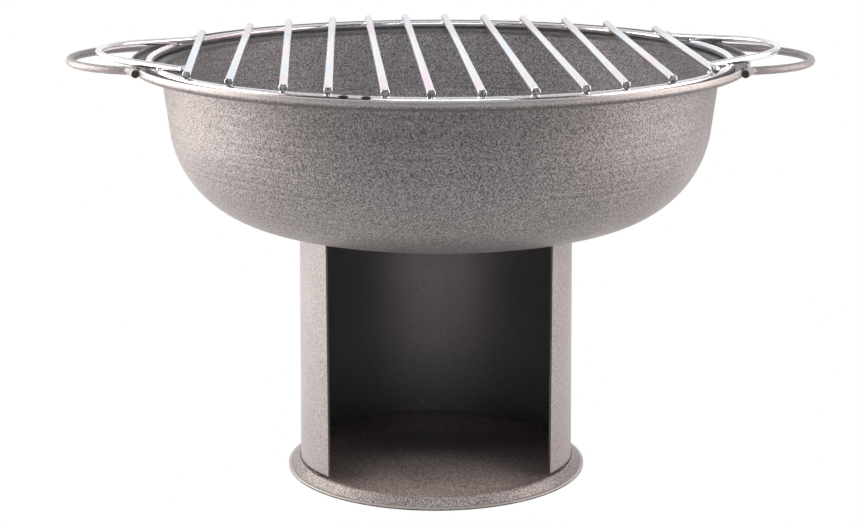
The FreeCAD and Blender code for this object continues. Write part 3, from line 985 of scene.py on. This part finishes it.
weldValues = {
    "lump": 0.0012, "lumpScale": 900.0, "nugget": (0.0021, 0.0023, 0.0010),
    "loopNugget": (0.0024, 0.0024, 0.0016), "endNugget": (0.0030, 0.0030, 0.0022), "endOut": 0.0015,
    "cornerNuggets": (        # place from the bar's end, and size
        (0.0, 0.001, 0.0004, 0.0028), (0.0018, 0.006, -0.0004, 0.0026), (-0.0008, 0.003, -0.0022, 0.0022)),
    "cornerTurn": (900, 700), "footBead": (0.0013, 0.0016, 0.0012), "footBeads": 5, "footShift": 0.2,
    "footLift": 0.0021, "tack": (0.0009, 0.0014, 0.0008), "tackAngles": (-59.2, 66.2), "tackBeads": 4,
    "tackStep": 1.6, "tackLift": 0.0003,
}


def makeBeads(name, beads, material, body):
    places, sizes, turns = zip(*beads)
    cloud = pointCloud(name, places, {
        "beadSize": ("FLOAT_VECTOR", "vector", sizes), "beadTurn": ("FLOAT_VECTOR", "vector", turns)})
    welds = runTree(cloud, beadTree, {
        "Lump": weldValues["lump"], "Lump Scale": weldValues["lumpScale"], "Material": material})
    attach(welds, body)


def grateBeads():
    beads = []
    turned = Matrix.Rotation(grateValues["turn"], 4, "Z")
    seat = ringHeight + rodRadius - grateValues["weldSink"]
    for index in range(barCount):
        for drift, side in ((frontDrift, -1), (rearDrift, 1)):
            x = index * pitch - outerBar + drift[index]
            y = side * math.sqrt(ringRadius ** 2 - x ** 2)
            beads.append((turned @ Vector((x, y, seat)), weldValues["nugget"], (0, 0, math.atan2(y, x))))
    for half in (0.0, math.pi):
        about = Matrix.Rotation(grateValues["turn"] + half, 4, "Z")
        for side in (1, -1):
            crossing = Vector((loopCrossing.x, side * loopCrossing.y, seat))
            end = Vector((loopCorner.x + weldValues["endOut"], side * loopCorner.y, loopHeight))
            beads.append((about @ crossing, weldValues["loopNugget"], (0, 0, half)))
            beads.append((about @ end, weldValues["endNugget"], (0, 0, half)))
    endY = -math.sqrt(barReach ** 2 - outerBar ** 2)
    turnX, turnY = weldValues["cornerTurn"]
    for x, y, z, size in weldValues["cornerNuggets"]:        # a heavy weld over the right front bar end
        place = Vector((outerBar + x, endY + y, barHeight + z))
        beads.append((turned @ place, (size, size, size), (x * turnX, y * turnY, 0)))
    return beads


def standBeads():
    # short runs of beads between each handle foot and the lip, and at the pedestal's foot
    beads = []
    footBeads = weldValues["footBeads"]
    beadHeight = handleHeight + weldValues["footLift"]
    for half in (0.0, math.pi):
        for side in (1, -1):
            for index in range(footBeads):
                share = (index + weldValues["footShift"]) / footBeads
                turn = half + side * (footStart + (footEnd - footStart) * share)
                place = (lipRadius * math.cos(turn), lipRadius * math.sin(turn), beadHeight)
                beads.append((place, weldValues["footBead"], (0, 0, turn)))
    middle = (weldValues["tackBeads"] - 1) / 2
    for angle in weldValues["tackAngles"]:        # one tack on each side of the pedestal's opening
        for index in range(weldValues["tackBeads"]):
            turn = math.radians(angle + (index - middle) * weldValues["tackStep"])
            place = (standCentre + pedestalRadius * math.sin(turn), -pedestalRadius * math.cos(turn),
                     plateHigh.z + weldValues["tackLift"])
            beads.append((place, weldValues["tack"], (0, 0, turn)))
    return beads


makeBeads("grateWelds", grateBeads(), brightZinc, "grate")
makeBeads("standWelds", standBeads(), weldPaint, "stand")
print("weld beads set")


# floor, light and camera

studioValues = {
    "floorSize": 14.0, "floorShade": 0.86, "floorFront": 0.6, "floorSpan": (-0.55, 0.0), "floorRough": 0.8,
    "speckScale": 3.0, "speckLight": 0.01, "haloLight": 0.38, "haloSpan": (0.6, 0.97), "topLight": 0.65,
    "topSpan": (0.35, 0.8), "frontGloss": 0.5, "glossSpan": (-0.75, -0.95), "aim": (0, 0, 0.15),
    "leftEnergy": 25.2, "leftPlace": (-1.1, 0.12, 0.36), "leftSize": (1.2, 1.2),
    "leftColor": (1.0, 0.87, 0.81),
    "rightEnergy": 15.5, "rightPlace": (1.1, -0.1, 0.36), "rightSize": (1.0, 1.2),
    "rightColor": (1.0, 0.845, 0.79),
    "keyEnergy": 3.8, "keyPlace": (0, -0.862, 1.09), "keySize": (0.9, 0.16), "keyColor": (0.97, 0.98, 1.0),
    "lens": 86.72, "sensor": 36.0, "shift": -0.0121, "cameraPlace": (0, -1.2107, 0.4088), "cameraDip": 13.243,
}


def makeFloor():
    # a pale floor that lights the object, and looks plain white to the camera
    half = studioValues["floorSize"] / 2
    mesh = bpy.data.meshes.new("studioFloor")
    corners = [(-half, -half, 0), (half, -half, 0), (half, half, 0), (-half, half, 0)]
    mesh.from_pydata(corners, [], [(0, 1, 2, 3)])
    floor = bpy.data.objects.new("studioFloor", mesh)
    scene.collection.objects.link(floor)
    material, tree, shader, place = newMaterial("paleFloor")
    speck = noise(tree, place, studioValues["speckScale"], detail=2.0)
    shades = (studioValues["floorFront"], studioValues["floorShade"])
    shade = remap(tree, axes(tree, place)["Y"], studioValues["floorSpan"], shades, True)
    specks = (-studioValues["speckLight"], studioValues["speckLight"])
    shade = calc(tree, "ADD", shade, remap(tree, speck, (0.0, 1.0), specks))
    tree.links.new(shade, shader.inputs["Base Color"])
    shader.inputs["Roughness"].default_value = studioValues["floorRough"]
    bright = put(tree, "ShaderNodeEmission", {"Color": (1, 1, 1, 1), "Strength": 1.0})
    seen = put(tree, "ShaderNodeLightPath").outputs["Is Camera Ray"]
    blend = put(tree, "ShaderNodeMixShader", {0: seen, 1: shader.outputs[0], 2: bright.outputs[0]})
    output = [node for node in tree.nodes if node.type == "OUTPUT_MATERIAL"][0]
    tree.links.new(blend.outputs[0], output.inputs["Surface"])
    mesh.materials.append(material)


def makeWorld():
    # a light tent: light from behind and above, with only a faint sheen from the front
    world = bpy.data.worlds.new("lightTent")
    scene.world = world
    world.use_nodes = True
    tree = world.node_tree
    tree.nodes.clear()
    way = axes(tree, put(tree, "ShaderNodeTexCoord").outputs["Generated"])
    rays = put(tree, "ShaderNodeLightPath").outputs
    behind = rise(tree, way["Y"], studioValues["haloSpan"], studioValues["haloLight"])
    above = calc(tree, "ADD", way["Y"], way["Z"])
    above = rise(tree, above, studioValues["topSpan"], studioValues["topLight"])
    before = rise(tree, way["Y"], studioValues["glossSpan"], studioValues["frontGloss"])
    before = times(tree, before, rays["Is Glossy Ray"])
    level = calc(tree, "ADD", calc(tree, "ADD", behind, above), before)
    level = calc(tree, "MAXIMUM", level, rays["Is Camera Ray"])
    light = put(tree, "ShaderNodeBackground", {"Color": (1, 1, 1, 1), "Strength": level})
    put(tree, "ShaderNodeOutputWorld", {"Surface": light.outputs[0]})


def makeLight(name):
    lamp = bpy.data.lights.new(name + "Box", "AREA")
    lamp.color = studioValues[name + "Color"]
    lamp.shape = "RECTANGLE"
    lamp.size, lamp.size_y = studioValues[name + "Size"]
    lamp.energy = studioValues[name + "Energy"]
    light = bpy.data.objects.new(name + "Box", lamp)
    scene.collection.objects.link(light)
    light.location = studioValues[name + "Place"]
    light.rotation_euler = (Vector(studioValues["aim"]) - light.location).to_track_quat("-Z", "Y").to_euler()
    light.visible_camera = False


def makeCamera():
    lens = bpy.data.cameras.new("photoCamera")
    lens.sensor_width = studioValues["sensor"]
    lens.sensor_fit = "HORIZONTAL"
    lens.lens = studioValues["lens"]
    lens.shift_x = studioValues["shift"]
    camera = bpy.data.objects.new("photoCamera", lens)
    scene.collection.objects.link(camera)
    camera.location = studioValues["cameraPlace"]
    camera.rotation_euler = (math.radians(90 - studioValues["cameraDip"]), 0, 0)
    scene.camera = camera


makeFloor()
makeWorld()
for side in ("left", "right", "key"):
    makeLight(side)
makeCamera()
scene.view_settings.view_transform = "Standard"
print("studio set")
